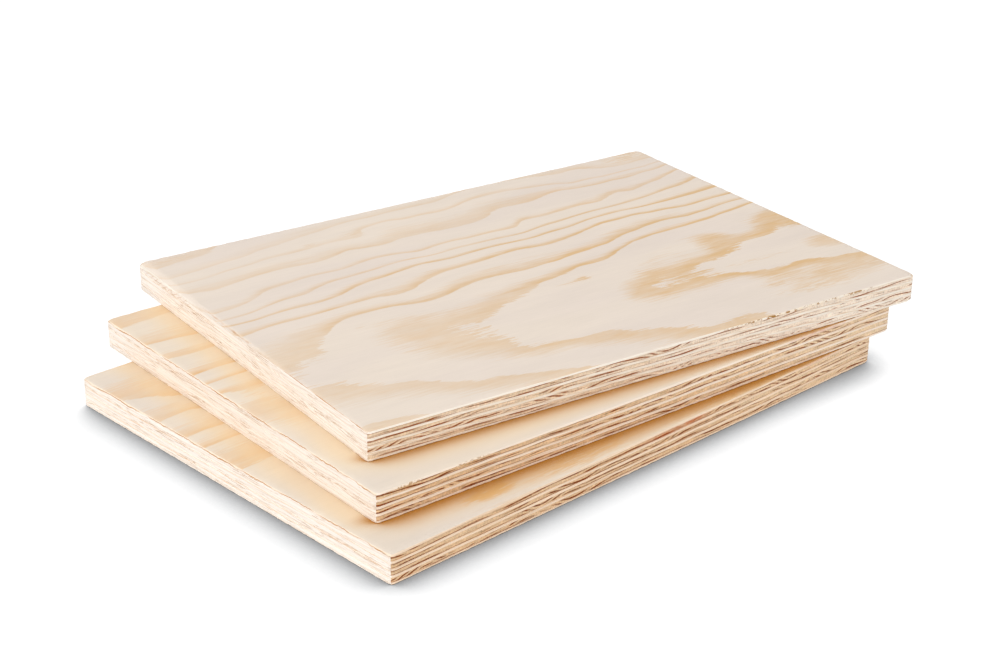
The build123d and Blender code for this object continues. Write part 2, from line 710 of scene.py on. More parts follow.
# Where the rings and the dark glue lines of a cut edge show and where they fade
RING_PATCHES = Noise(("along", "over", "z"), (85.0, 34.0, 1.7))
SEAM_PATCHES = Noise(("along", "over", "z"), (50.0, 36.0, 2.4), rim=(-0.1, 0.06))

# The clouds, streaks and blots of a peeled face
CLOUDS = Noise(("along", "over", 3.0), (190.0, 60.0, 1.0), rim=(-0.15, 0.2))
MOTTLE = Noise(("along", "over", 3.0), (14.0, 3.0, 1.0), 3.0, 0.6)
SWELLS = Noise(("along", "over", 21.0), (46.0, 9.0, 1.0), 2.0, 0.6)
FACE_STREAKS = Noise(("along", "over", 15.0), (34.0, 1.5, 1.0), 4.0, 0.7)
BLUSH_STREAKS = Noise(("along", "over", 11.0), (13.0, 1.3, 1.0), 3.0, 0.6)
UNEVEN_TONE = Noise(("along", "over", 27.0), (60.0, 14.0, 1.0), 3.0, 0.6)

# Fibres seen from the side, and torn across on end grain
FIBRES = Noise(("along", "over", "z"), (22.0, 0.6, 0.42), 3.0, 0.65)
FLAT_TEARS = Noise(("over", "z", "along"), (9.0, 0.6, 3.0), 3.0, 0.7)
UPRIGHT_TEARS = Noise(("over", "z", "along"), (1.2, 2.0, 3.0), 2.0, 0.7)
DRY_PATCHES = Noise(("over", "z", "along"), (38.0, 2.2, 90.0))

# What the saw and handling left: torn face skin, ticks, chips, dashes and blotted resin
# The skin at the top of the short ends and the chipped stretches take painted highlights.
SKIN_EDGE = Noise(("y", "x", 5.0), (17.0, 17.0, 1.0), 4.0, 0.68)
SKIN_SHADE = Noise(("y", "x", 9.0), (18.0, 18.0, 1.0), 3.0, rim=(-0.16, 0.04))
TICK_DRIFT = Noise(("x", "y", "z"), (9.0, 9.0, 3.0))
CHIPS = Noise(("x", "z", "y"), (2.3, 1.5, 3.0), 2.0, 0.6)
CHIP_GROUPS = Noise(("x", 41.0, 0.0), (16.0, 1.0, 1.0), 1.0, rim=(-0.12, -0.04))
DASHES = Noise(("y", "z", "x"), (11.0, 0.5, 4.0), 3.0, 0.65)
DASH_PATCHES = Noise(("y", "z", 3.0), (45.0, 5.0, 1.0))
RESIN_BLOTS = Noise(("x", "z", "y"), (4.0, 1.2, 4.0), 3.0, 0.7, rim=(-0.2, 0.15))


class Site(NamedTuple):
    """What the finish is worked out from at each point of the wood, as outputs or nodes.

    The first five are in millimetres. The others are shares from 0 to 1.
    """

    x: Any
    y: Any
    z: Any
    along: Any
    over: Any
    tone: Any
    upper: Any
    face: Any
    seam: Any
    dry: Any
    long_side: Any
    short_end: Any
    end_grain: Any


@dataclass(frozen=True)
class RotaryPine:
    """Rotary-cut pine veneer, glued up crosswise, sawn and left bare.

    The peeled faces show broad flames of tan summer wood on cream spring wood, each stopped by
    a fine darker line. Where the long sides cut the fibres across, the wood drinks more light:
    it is tan, rough, and crossed by the growth rings as thin brown strokes. Where an edge runs
    with the fibres it stays cream, and the short ends are bleached nearly white.
    """

    figure: FaceFigure
    seed: float
    spring: str = "#F2E4D5"
    spring_grey: str = "#EEE0D4"
    summer: str = "#E5C090"
    edge_spring: str = "#FEF4E6"
    edge_summer: str = "#DDB689"
    short_spring: str = "#FAF0E6"
    short_summer: str = "#D6B897"
    end_spring: str = "#EBCFAC"
    end_dry: str = "#FEEEDC"
    end_summer: str = "#9A5520"
    resin: str = "#C4622A"
    # Pale torn skin, partly a painted arris highlight, and painted highlights among chips
    skin: str = "#FBE9D0"
    torn: str = "#C2884E"
    pit: str = "#B0803F"
    dash: str = "#C8A888"
    # Painted glow and painted ochre shade beside the sheet above, placed by occlusion
    painted_glow: str = "#F1D3A0"
    painted_crevice_shade: str = "#BE7F28"
    painted_glow_range: tuple[float, float] = (0.97, 0.75)
    painted_glow_share: float = 0.42
    painted_crevice_shade_range: tuple[float, float] = (0.81, 0.52)
    painted_crevice_reach: float = 24.0
    lit_strip_painted_shade: float = 0.1
    painted_shade_strip: tuple[float, float] = (45.0, 33.0)
    face_softness: float = 0.55
    edge_softness: float = 0.28
    face_streaks: float = 2.4
    cut_pitch: float = 2.1
    seam_width: float = 0.6
    short_strength: float = 0.8
    dry_from: float = 80.0
    dry_to: float = 300.0
    ring_pitch: float = 3.0
    ring_swing: float = 5.0
    hatch_swing: float = 11.0
    dive: float = 0.016
    line_blur: float = 1.3
    skin_depth: float = 0.9
    tick_pitch: float = 6.5
    roughness: float = 0.62
    relief: float = 0.35
    relief_strength: float = 0.8
    grain_relief: tuple[float, float] = (0.1, 0.5)
    summer_ridge: float = 0.3
    summer_gloss: float = -0.1
    fibre_gloss: float = 0.3
    edge_lean: tuple[float, float] = (0.35, 0.75)
    ply_strides: tuple[float, float] = (977.0, 613.0)
    bleached_grain: float = 0.06
    seam_rim: float = 0.1
    short_seams: float = 0.4
    dry_seams: float = 0.4
    ragged_by_width: tuple[float, float, float, float] = (8.0, 60.0, 0.28, 1.0)
    cut_ragged: tuple[float, float] = (0.45, 0.14)
    cut_shares: tuple[float, float] = (0.46, 0.34)
    cut_blur: float = 0.05
    cut_calm: float = 0.4
    swell_share: float = 1.4
    fine_rise: tuple[float, float] = (0.72, 0.92)
    fine_by_width: tuple[float, float, float, float] = (10.0, 45.0, 0.75, 0.08)
    broad_share: float = 0.72
    left_fade: tuple[float, float, float] = (-200.0, 130.0, 0.62)
    blush_lift: float = 0.24
    blush_rim: tuple[float, float] = (0.04, 0.18)
    upright_share: float = 0.9
    dry_range: tuple[float, float] = (0.22, 0.9)
    dry_patchiness: float = 1.2
    edge_contrast: float = 0.2
    face_contrast: float = 0.11
    end_contrast: float = 0.95
    ply_tones: tuple[float, float] = (-0.03, 0.02)
    unevenness: float = 0.1
    pit_rim: tuple[float, float] = (0.0, 0.06)
    painted_highlight_rim: tuple[float, float] = (-0.02, -0.08)
    least_stain: float = 0.35
    skin_swing: float = 4.5
    skin_rim: tuple[float, float] = (-0.1, 0.15)
    skin_cover: float = 0.8
    torn_rim: tuple[float, float] = (0.1, 0.45)
    tick_slant: float = -1.8
    tick_drift: float = 1.1
    tick_rim: tuple[float, float] = (0.34, 0.47)
    dash_patchiness: float = 0.6
    dash_rim: tuple[float, float] = (0.07, 0.17)
    dash_cover: float = 0.9

    def material(self, name: str, blank: SawnSheet, turn: float) -> bpy.types.Material:
        """Wires the finish for one sheet.

        Args:
            name: The material's name.
            blank: The sheet, for its plies.
            turn: How far the sheet is turned, in degrees.

        Returns:
            The material.
        """
        material = bpy.data.materials.new(name)
        PineWiring(material, self, blank, turn).wire()
        return material


class PineWiring(Wiring):
    """The nodes that work out a sheet's finish through the whole thickness of its wood."""

    def __init__(self, owner: bpy.types.Material, finish: RotaryPine, blank: SawnSheet,
                 turn: float) -> None:
        """Takes the finish and the sheet, and finds the place in the wood.

        Args:
            owner: The material that is wired.
            finish: The finish's colours and sizes.
            blank: The sheet, for its plies.
            turn: How far the sheet is turned, in degrees.
        """
        super().__init__(owner)
        self.finish = finish
        self.blank = blank
        self.turn = turn
        self.site = self._find_site()
        self.depth = self.add("Math", blank.thickness, self.site.z, operation="SUBTRACT")
        rings = self.add("Attribute", attribute_name=RING_ATTRIBUTE).outputs["Vector"]
        self.drawn_year, self.ring_width, self.blush = self.add("SeparateXYZ", rings).outputs

    def wire(self) -> None:
        """Wires the surface, from the years of growth to the colour, gloss and relief."""
        summer = self._summer_wood(self._years())
        fibre = self._fibres()
        # The colour ends with painted glow and painted shade beside the sheet above.
        colour = self._painted_crevice_light(self._marks(self._wood(summer, fibre)))
        surface = self.add("BsdfPrincipled", named={
            "Base Color": colour, "Roughness": self._gloss(fibre, summer),
            "Normal": self._relief(fibre, summer), "IOR": 1.5, "Specular IOR Level": 0.12,
        })
        self.add("OutputMaterial", surface)

    def _find_site(self) -> Site:
        """Finds the place in the sheet, the ply's grain and the way the surface faces."""
        add, blank, finish = self.add, self.blank, self.finish
        place = add("Attribute", attribute_name=PLACE_ATTRIBUTE).outputs["Vector"]
        x, y, z = add("SeparateXYZ", add("VectorMath", place, 1 / MM, operation="SCALE")).outputs
        cross, tone, seed = add("SeparateColor", self._ply_table(z)).outputs
        along, over = (
            add("Math", seed, stride, add("Mix", cross, first, second), operation="MULTIPLY_ADD")
            for first, second, stride in zip((x, y), (y, x), finish.ply_strides)
        )
        facing = add("NewGeometry").outputs["True Normal"]
        own = add(
            "VectorRotate", named={"Vector": facing, "Angle": -math.radians(self.turn)},
            rotation_type="Z_AXIS",
        )
        short_end, long_side = (
            add("MapRange", add("Math", part, operation="ABSOLUTE"), *finish.edge_lean, **SMOOTH)
            for part in add("SeparateXYZ", own).outputs[:2]
        )
        bleached = add("Math", short_end, finish.bleached_grain, operation="MULTIPLY")
        end_grain = add("Mix", cross, bleached, long_side)
        upper = add("Math", z, blank.thickness - blank.face_ply, operation="GREATER_THAN")
        edge = add("Math", short_end, long_side, operation="MAXIMUM")
        face = add("Math", upper, edge, operation="SUBTRACT", use_clamp=True)
        from_end = [distance - blank.length / 2 for distance in (finish.dry_from, finish.dry_to)]
        dry = add("MapRange", x, *from_end, **SMOOTH)
        return Site(x, y, z, along, over, tone, upper, face, self._seams(z, cross), dry, long_side,
                    short_end, end_grain)

    def _ply_table(self, z: Any) -> bpy.types.Node:
        """Looks up each ply: red is 1 where it runs across, green its tone, blue its seed."""
        thickness = self.blank.thickness
        table = self.add("ValToRGB", self.add("Math", z, thickness, operation="DIVIDE"))
        golden = (math.sqrt(5) - 1) / 2
        stops = []
        for number, ply in enumerate(self.blank.plies()):
            draw = (number * golden + self.finish.seed) % 1
            stops.append((ply.lower / thickness, (ply.grain.value, (draw * 7) % 1, draw, 1)))
        self._fill_table(table, stops)
        return table

    def _fill_table(self, table: bpy.types.Node, stops: list[tuple[float, tuple]]) -> None:
        """Fills a colour ramp with steps.

        Args:
            table: The ramp's node, as it was added.
            stops: Each step's place and colour, in their order.
        """
        ramp = table.color_ramp
        ramp.interpolation = "CONSTANT"
        for number, (place, colour) in enumerate(stops):
            stop = ramp.elements.new(place) if number else ramp.elements[0]
            stop.position = place
            stop.color = colour
        ramp.elements.remove(ramp.elements[-1])

    def _seams(self, z: Any, cross: Any) -> bpy.types.Node:
        """Marks the two rims of each cross ply, where the glue line lies."""
        ply = self.blank.plies()[1]
        middle = (ply.lower + ply.upper) / 2
        half = ply.upper - middle
        lap = 2 * half + self.blank.along_ply
        rise = self.add("Math", z, middle, operation="SUBTRACT")
        away = self.add("Math", rise, lap / 2, operation="PINGPONG")
        start, end = half - self.finish.seam_width, half - self.finish.seam_rim
        return self.add("MapRange", away, start, end, 0.0, cross, **SMOOTH)

    def _noise(self, noise: Noise) -> bpy.types.Node:
        """Adds noise to the wood, and gives it about zero, from about -0.5 to 0.5."""
        place = [getattr(self.site, axis) if isinstance(axis, str) else axis for axis in noise.axes]
        scale = tuple(1 / size for size in noise.sizes)
        point = self.add("VectorMath", self.add("CombineXYZ", *place), scale, operation="MULTIPLY")
        texture = self.add("TexNoise", point, 1.0, noise.detail, noise.roughness)
        return self.add("Math", texture, 0.5, operation="SUBTRACT")

    def _patches(self, noise: Noise, *levels: Any) -> bpy.types.Node:
        """Makes soft patches of noise, from 0 to 1 or between the two levels that are given."""
        return self.add("MapRange", self._noise(noise), *noise.rim, *levels, **SMOOTH)

    def _years(self) -> bpy.types.Node:
        """Counts the years of growth: drawn on the upper face, and wandering in the other plies."""
        add, site, finish = self.add, self.site, self.finish
        year = add("Math", site.z, finish.cut_pitch, operation="DIVIDE")
        year = add("Math", site.along, finish.dive, year, operation="MULTIPLY_ADD")
        swing = self._noise(RING_SWING)
        year = add("Math", swing, finish.ring_swing, year, operation="MULTIPLY_ADD")
        zone = self._patches(HATCH_ZONE, 0.0, finish.hatch_swing)
        year = add("Math", self._noise(HATCH_SWING), zone, year, operation="MULTIPLY_ADD")
        rate = 1 / finish.ring_pitch
        face = add("Math", self.depth, rate, self.drawn_year, operation="MULTIPLY_ADD")
        year = add("Mix", site.upper, year, face)
        ragged = add("MapRange", self.ring_width, *finish.ragged_by_width)
        below = add("Mix", site.end_grain, *finish.cut_ragged)
        reach = add("Mix", site.upper, below, ragged)
        for feather, share in FEATHERS:
            part = add("Math", self._noise(feather), share, operation="MULTIPLY")
            year = add("Math", part, reach, year, operation="MULTIPLY_ADD")
        return year

    def _figure_table(self, year: Any) -> bpy.types.Node:
        """Looks up each drawn year: red is how dark its summer wood is, green how wide."""
        lines = {line.year: (line.strength, line.share) for line in self.finish.figure.lines}
        last = max(lines) + 2
        number = self.add("Math", year, operation="CEIL")
        table = self.add("ValToRGB", self.add("Math", number, last, operation="DIVIDE"))
        self._fill_table(table, [
            (max(0.0, (count - 0.5) / last), (*lines.get(count, UNDRAWN_YEAR), 0, 1))
            for count in range(last + 1)
        ])
        return self.add("SeparateColor", table)

    def _summer_wood(self, year: Any) -> bpy.types.Node:
        """Gives the summer wood, which darkens slowly and stops sharply at the year's end.

        Args:
            year: The year of growth, with its fraction.

        Returns:
            How dark the wood's season is, from 0 to 1.
        """
        add, site, finish = self.add, self.site, self.finish
        strength, share, _ = self._figure_table(year).outputs
        cut_share = add("Mix", site.dry, *finish.cut_shares)
        share = add("Mix", site.upper, cut_share, share)
        part = add("Math", year, operation="FRACT")
        band = add("Math", self._ring(part, share), self._year_end(part), operation="MULTIPLY")
        shaded = add("Math", band, self._ring_strength(strength), operation="MULTIPLY")
        swell = self._noise(SWELLS)
        mottle = self._noise(MOTTLE)
        mottle = add("Math", swell, finish.swell_share, mottle, operation="MULTIPLY_ADD")
        mottle = add("Math", mottle, 1.0, operation="ADD")
        shown = add("Math", shaded, mottle, operation="MULTIPLY")
        for other in (self._blotches(), self._seam_lines()):
            shown = add("Math", shown, other, operation="MAXIMUM")
        return shown

    def _ring(self, part: Any, share: Any) -> bpy.types.Node:
        """Darkens through a year towards its end, on the face with a finer line before it.

        Args:
            part: How far the year has gone.
            share: How much of the year's width the summer wood takes.

        Returns:
            How dark the ring is.
        """
        add, site, finish = self.add, self.site, self.finish
        softness = add("Mix", site.upper, finish.edge_softness, finish.face_softness)
        soft_share = add("Math", share, softness, operation="MULTIPLY")
        start, end = (
            add("Math", 1.0, add("Math", soft_share, sign, share, operation="MULTIPLY_ADD"),
                operation="SUBTRACT")
            for sign in (1.0, -1.0)
        )
        break_up = add("Math", share, finish.face_streaks, operation="MULTIPLY")
        break_up = add("Math", break_up, site.face, operation="MULTIPLY")
        streaks = self._noise(FACE_STREAKS)
        broken = add("Math", streaks, break_up, part, operation="MULTIPLY_ADD")
        rise = add("MapRange", broken, start, end, **SMOOTH)
        slim = add("MapRange", self.ring_width, *finish.fine_by_width)
        line = add("MapRange", part, *finish.fine_rise, **SMOOTH)
        fine = add("Math", line, slim, operation="MULTIPLY")
        both = add("Math", rise, finish.broad_share, fine, operation="MULTIPLY_ADD")
        return add("Mix", site.upper, rise, both)

    def _year_end(self, part: Any) -> bpy.types.Node:
        """Ends the summer wood at the turn of the year, within the line's blur."""
        blur = self.add("Math", self.finish.line_blur, self.ring_width, operation="DIVIDE")
        blur = self.add("Mix", self.site.upper, self.finish.cut_blur, blur)
        start = self.add("Math", 1.0, blur, operation="SUBTRACT")
        return self.add("MapRange", part, start, 1.0, 1.0, 0.0, **SMOOTH)

    def _ring_strength(self, drawn: Any) -> bpy.types.Node:
        """Says how strongly the rings show: as drawn on the face, in patches on the edges."""
        add, site, finish = self.add, self.site, self.finish
        fade = self._patches(RING_PATCHES)
        calm = add("Mix", site.end_grain, finish.cut_calm, 1.0)
        bleach = add("MapRange", site.short_end, 0.0, 1.0, 1.0, finish.short_strength)
        calm = add("Math", calm, bleach, operation="MULTIPLY")
        fade = add("Math", fade, calm, operation="MULTIPLY")
        left = add("MapRange", site.x, *finish.left_fade, 1.0, **SMOOTH)
        return add("Mix", site.face, fade, add("Math", drawn, left, operation="MULTIPLY"))

    def _seam_lines(self) -> bpy.types.Node:
        """Darkens the glue lines in patches, less on the short ends and on dry wood."""
        add, site, finish = self.add, self.site, self.finish
        seam = self._patches(SEAM_PATCHES, 0.0, site.seam)
        lit = add(
            "Math", site.short_end, finish.short_seams, site.long_side, operation="MULTIPLY_ADD"
        )
        for share in (lit, add("Mix", site.dry, 1.0, finish.dry_seams)):
            seam = add("Math", seam, share, operation="MULTIPLY")
        return seam

    def _blotches(self) -> bpy.types.Node:
        """Streaks the blushes that are marked on the face along the grain."""
        finish, grain = self.finish, self._noise(BLUSH_STREAKS)
        level = self.add("Math", self.blush, finish.blush_lift, grain, operation="MULTIPLY_ADD")
        shown = self.add("MapRange", level, *finish.blush_rim, **SMOOTH)
        return self.add("Math", shown, self.blush, operation="MULTIPLY")

    def _fibres(self) -> bpy.types.Node:
        """Gives the fibres: long streaks along the grain, flat and upright tears on end grain."""
        streaks, flat, upright = map(self._noise, (FIBRES, FLAT_TEARS, UPRIGHT_TEARS))
        share = self.finish.upright_share
        tears = self.add("Math", upright, share, flat, operation="MULTIPLY_ADD")
        return self.add("Mix", self.site.end_grain, streaks, tears)

    def _wood(self, summer: Any, fibre: Any) -> bpy.types.Node:
        """Mixes the wood's colour from its season, its cut, its fibres and its ply's own tone.

        Args:
            summer: How dark the wood's season is.
            fibre: The fibres, about zero.

        Returns:
            The wood's colour.
        """
        add, site, finish = self.add, self.site, self.finish
        greyness = self._patches(CLOUDS)
        dry = add("MapRange", site.dry, 0.0, 1.0, *finish.dry_range)
        patchy = self._noise(DRY_PATCHES)
        dryness = add("Math", patchy, finish.dry_patchiness, dry, operation="MULTIPLY_ADD")
        face, cut, edge, edge_dark = (
            add("Mix", factor, linear(first), linear(second), **COLOUR)
            for factor, first, second in (
                (greyness, finish.spring, finish.spring_grey),
                (dryness, finish.end_spring, finish.end_dry),
                (site.short_end, finish.edge_spring, finish.short_spring),
                (site.short_end, finish.edge_summer, finish.short_summer),
            )
        )
        pale = add("Mix", site.face, edge, face, **COLOUR)
        dark = add("Mix", site.face, edge_dark, linear(finish.summer), **COLOUR)
        with_grain = add("Mix", summer, pale, dark, **COLOUR)
        cut_grain = add("Mix", summer, cut, linear(finish.end_summer), **COLOUR)
        wood = add("Mix", site.end_grain, with_grain, cut_grain, **COLOUR)
        contrast = add("Mix", site.face, finish.edge_contrast, finish.face_contrast)
        contrast = add("Mix", site.end_grain, contrast, finish.end_contrast)
        grainy = add("Math", fibre, contrast, 1.0, operation="MULTIPLY_ADD")
        own = add("MapRange", site.tone, 0.0, 1.0, *finish.ply_tones)
        uneven = self._noise(UNEVEN_TONE)
        own = add("Math", uneven, finish.unevenness, own, operation="MULTIPLY_ADD")
        shade = add("Math", grainy, own, operation="ADD")
        return add("VectorMath", wood, shade, operation="SCALE")

    def _marks(self, wood: Any) -> bpy.types.Node:
        """Lays the dashes, the torn skin with a painted arris highlight, the saw's ticks,
        the chips with painted highlights among them, and the resin over the wood.

        Args:
            wood: The wood's colour.

        Returns:
            The colour with the marks.
        """
        add, site, finish = self.add, self.site, self.finish
        marks = add("Attribute", attribute_name=MARK_ATTRIBUTE).outputs["Vector"]
        resin_mask, tick_mask, _ = add("SeparateXYZ", marks).outputs
        end_ticks = add("Math", tick_mask, site.short_end, operation="MULTIPLY")
        chipped = add("Math", tick_mask, site.long_side, operation="MULTIPLY")
        chipped = add("Math", chipped, self._patches(CHIP_GROUPS), operation="MULTIPLY")
        chips = self._noise(CHIPS)
        pit = add("MapRange", chips, *finish.pit_rim, **SMOOTH)
        # Painted highlights among the chips on the long sides.
        painted_highlight = add("MapRange", chips, *finish.painted_highlight_rim, **SMOOTH)
        stain = self._patches(RESIN_BLOTS, finish.least_stain, 1.0)
        skin, rim = self._torn_skin_and_highlight()
        return self._paint(wood, (
            (site.short_end, self._end_dashes(), finish.dash),
            (site.short_end, skin, finish.skin),
            (site.short_end, rim, finish.torn),
            (end_ticks, self._saw_ticks(), finish.torn),
            (chipped, painted_highlight, finish.skin),
            (chipped, pit, finish.pit),
            (resin_mask, stain, finish.resin),
        ))

    def _paint(self, ground: Any, coats: tuple[tuple[Any, Any, str], ...]) -> bpy.types.Node:
        """Lays colours over one another.

        Args:
            ground: The colour below.
            coats: For each coat its mask, its pattern and its sRGB colour.

        Returns:
            The colour on top.
        """
        for mask, pattern, paint in coats:
            cover = self.add("Math", mask, pattern, operation="MULTIPLY")
            ground = self.add("Mix", cover, ground, linear(paint), **COLOUR)
        return ground

    def _torn_skin_and_highlight(self) -> tuple[bpy.types.Node, bpy.types.Node]:
        """Finds the face ply's skin that hangs over the short ends, and its torn rim.

        The pale skin also stands for a painted highlight on the arris.
        """
        add, finish = self.add, self.finish
        ragged = self._noise(SKIN_EDGE)
        swing = finish.skin_swing * finish.skin_depth
        edge = add("Math", ragged, swing, finish.skin_depth, operation="MULTIPLY_ADD")
        past = add("Math", self.depth, edge, operation="SUBTRACT")
        # The pale skin strip, which also stands for a painted highlight on the arris.
        skin = add("MapRange", past, *finish.skin_rim, finish.skin_cover, 0.0, **SMOOTH)
        rim = add("Math", past, operation="ABSOLUTE")
        rim = add("MapRange", rim, *finish.torn_rim, 1.0, 0.0, **SMOOTH)
        patchy = add("MapRange", self._noise(SKIN_SHADE), *SKIN_SHADE.rim)
        return skin, add("Math", rim, patchy, operation="MULTIPLY")

    def _saw_ticks(self) -> bpy.types.Node:
        """Draws the slanting ticks that a saw tooth leaves at even steps."""
        add, site, finish = self.add, self.site, self.finish
        ahead = add("Math", site.x, site.y, operation="SUBTRACT")
        slant = add("Math", site.z, finish.tick_slant, ahead, operation="MULTIPLY_ADD")
        phase = add("Math", slant, 1 / finish.tick_pitch, operation="MULTIPLY")
        drift = self._noise(TICK_DRIFT)
        phase = add("Math", drift, finish.tick_drift, phase, operation="MULTIPLY_ADD")
        wave = add("Math", phase, 0.5, operation="PINGPONG")
        return add("MapRange", wave, *finish.tick_rim, **SMOOTH)

    def _end_dashes(self) -> bpy.types.Node:
        """Draws the fine dashes of fibre that show on the short ends."""
        dashes, patches = self._noise(DASHES), self._noise(DASH_PATCHES)
        share, cover = self.finish.dash_patchiness, self.finish.dash_cover
        dashes = self.add("Math", patches, share, dashes, operation="MULTIPLY_ADD")
        return self.add("MapRange", dashes, *self.finish.dash_rim, 0.0, cover, **SMOOTH)

    def _painted_crevice_light(self, wood: Any) -> bpy.types.Node:
        """Paints glow and shade on the face beside the sheet that stands on it.

        A warm painted glow stands for light that wood bounces onto wood, and a painted
        ochre shade for the dark at the contact. The near strip lies away from the light,
        so its painted shade goes to brown. The left strip hardly takes it.

        Args:
            wood: The wood's colour.

        Returns:
            The colour with the painted glow and painted shade.
        """
        add, site, finish = self.add, self.site, self.finish
        # How open the face is round each point, which places the painted glow and shade.
        open_share = add(
            "AmbientOcclusion", named={"Distance": finish.painted_crevice_reach * MM}, samples=12
        ).outputs["AO"]
        # Painted shade is full on the near strip and weak on the lit left strip.
        start, end = (inset - self.blank.width / 2 for inset in finish.painted_shade_strip)
        dark = add("MapRange", site.y, start, end, finish.lit_strip_painted_shade, **SMOOTH)
        # Lays the painted glow, then the painted shade, over the face.
        return self._paint(wood, tuple(
            (add("MapRange", open_share, *bounds, 0.0, most), site.face, paint)
            for bounds, most, paint in (
                (finish.painted_glow_range, finish.painted_glow_share, finish.painted_glow),
                (finish.painted_crevice_shade_range, dark, finish.painted_crevice_shade),
            )
        ))

    def _gloss(self, fibre: Any, summer: Any) -> bpy.types.Node:
        """Makes the denser summer wood a little smoother than the spring wood."""
        add, finish = self.add, self.finish
        dense = add(
            "Math", summer, finish.summer_gloss, finish.roughness, operation="MULTIPLY_ADD"
        )
        return add("Math", fibre, finish.fibre_gloss, dense, operation="MULTIPLY_ADD")

    def _relief(self, fibre: Any, summer: Any) -> bpy.types.Node:
        """Raises the summer wood and the fibres, much more on torn end grain."""
        add, finish = self.add, self.finish
        ridge = add("Math", summer, finish.summer_ridge, fibre, operation="MULTIPLY_ADD")
        height = add("Mix", self.site.end_grain, *finish.grain_relief)
        raised = add("Math", ridge, height, operation="MULTIPLY")
        return add("Bump", named={
            "Strength": finish.relief_strength, "Distance": finish.relief * MM, "Height": raised,
        })


@dataclass
class PlywoodSheet:
    """One sheet of the stack: where it lies, how it is worn and what its wood looks like."""

    node: str
    seat: Seat
    finish: RotaryPine
    worn: tuple[Knock | RubbedEnd, ...]
    marks: tuple[Mark, ...] = ()
    wander_size: float = 48.0
    wander_depth: float = 1.7
    tear_size: float = 1.6
    tear_depth: float = 0.3
    chip_size: float = 5.0
    chip_depth: float = 0.5
    edge_reach: float = 1.0
    wander_rise: float = 3.0
    arris_share: float = 0.1
    torn_side: float = 1.0
    torn_end: float = 0.6
    torn_rest: float = 0.25
    smooth_below: float = 40.0
    thing: bpy.types.Object | None = field(default=None, init=False)

    def build(self, blank: SawnSheet, pattern: bpy.types.Object) -> None:
        """Models the sheet from a copy of the sawn one, and seats it.

        Args:
            blank: The sizes of the sawn sheet.
            pattern: The sawn sheet's object, which is left as it is.
        """
        self.thing = pattern.copy()
        self.thing.data = pattern.data.copy()
        self.thing.name = self.thing.data.name = self.node + "_wood"
        bpy.context.scene.collection.objects.link(self.thing)
        hand = Modeller(self.thing)
        hand.enter()
        for wear in self.worn:
            self._flatten(hand, wear.points(blank))
        hand.leave()
        self._note_places(blank)
        self._weigh(blank)
        self.thing.matrix_world = self.seat.matrix(blank)
        bpy.ops.object.transform_apply(location=True, rotation=True, scale=True)
        self._roughen(hand)
        bpy.ops.object.shade_smooth_by_angle(angle=math.radians(self.smooth_below))

    def _flatten(self, hand: Modeller, points: list[Vector]) -> None:
        """Presses what stands beyond the plane of three points onto that plane.

        Args:
            hand: The modeller that holds the sheet.
            points: The three points, in millimetres.
        """
        first, second, third = (point * MM for point in points)
        normal = (second - first).cross(third - first).normalized()
        if normal.dot(first) < 0:
            normal.negate()
        slack = 1e-6
        hand.select(
            Element.FACE,
            lambda face: max((vert.co - first).dot(normal) for vert in face.verts) > slack,
        )
        bpy.ops.mesh.bisect(plane_co=first, plane_no=normal)
        hand.select(Element.VERT, lambda vert: (vert.co - first).dot(normal) > slack)
        axis = normal.orthogonal().normalized()
        turn = Matrix((axis, normal.cross(axis), normal)).transposed()
        bpy.ops.transform.resize(
            value=(1, 1, 0), orient_type="GLOBAL", orient_matrix=turn, orient_matrix_type="GLOBAL",
            constraint_axis=(False, False, True), center_override=first,
        )

    def _note_places(self, blank: SawnSheet) -> None:
        """Keeps each point's place in the sheet, and what is drawn there.

        Args:
            blank: The sizes of the sawn sheet.
        """
        mesh = self.thing.data
        places = np.zeros(len(mesh.vertices) * 3, np.float32)
        mesh.vertices.foreach_get("co", places)
        board = mesh.attributes.new(PLACE_ATTRIBUTE, "FLOAT_VECTOR", "POINT")
        board.data.foreach_set("vector", places)
        places = places.reshape(-1, 3).astype(float) / MM
        places += (blank.length / 2, blank.width / 2, 0)
        upper = places[:, 2] > blank.thickness - 2 * blank.face_ply
        figure = self.finish.figure
        drawn = np.zeros((len(places), 3), np.float32)
        drawn[upper, 0] = figure.years(places[upper, :2])
        drawn[upper, 1] = figure.widths(places[upper, :2])
        marked = np.zeros((len(places), 3), np.float32)
        for mark in self.marks:
            column = marked[:, mark.stain.value]
            np.maximum(column, mark.weights(places), out=column)
        drawn[:, 2] = marked[:, Stain.BLUSH.value]
        for name, values in ((RING_ATTRIBUTE, drawn), (MARK_ATTRIBUTE, marked)):
            attribute = mesh.attributes.new(name, "FLOAT_VECTOR", "POINT")
            attribute.data.foreach_set("vector", values.ravel())

    def _weigh(self, blank: SawnSheet) -> None:
        """Groups the points that tear, wander or chip, each with its weight.

        Args:
            blank: The sizes of the sawn sheet.
        """
        tear = self.thing.vertex_groups.new(name="torn end grain")
        wander = self.thing.vertex_groups.new(name="wandering plies")
        chip = self.thing.vertex_groups.new(name="chipped arris")
        plies = blank.plies()
        inner = blank.thickness / 2
        for vert in self.thing.data.vertices:
            x, y, z = vert.co / MM
            rim = min(blank.length / 2 - abs(x), blank.width / 2 - abs(y))
            if rim > blank.rim_insets[-1]:
                continue
            depth = 1 - abs(z - inner) / inner
            sway = self.wander_rise * depth * (rim < self.edge_reach)
            wander.add([vert.index], min(1.0, sway), "REPLACE")
            on_end = blank.length / 2 - abs(x) < blank.corner_radius / 2
            across = any(p.lower < z < p.upper and p.grain is Grain.ACROSS for p in plies)
            cut_across = self.torn_end if on_end else self.torn_side
            torn = self.torn_rest if across == on_end else cut_across
            if depth > self.arris_share:
                tear.add([vert.index], torn, "REPLACE")
            else:
                chip.add([vert.index], 1.0, "REPLACE")

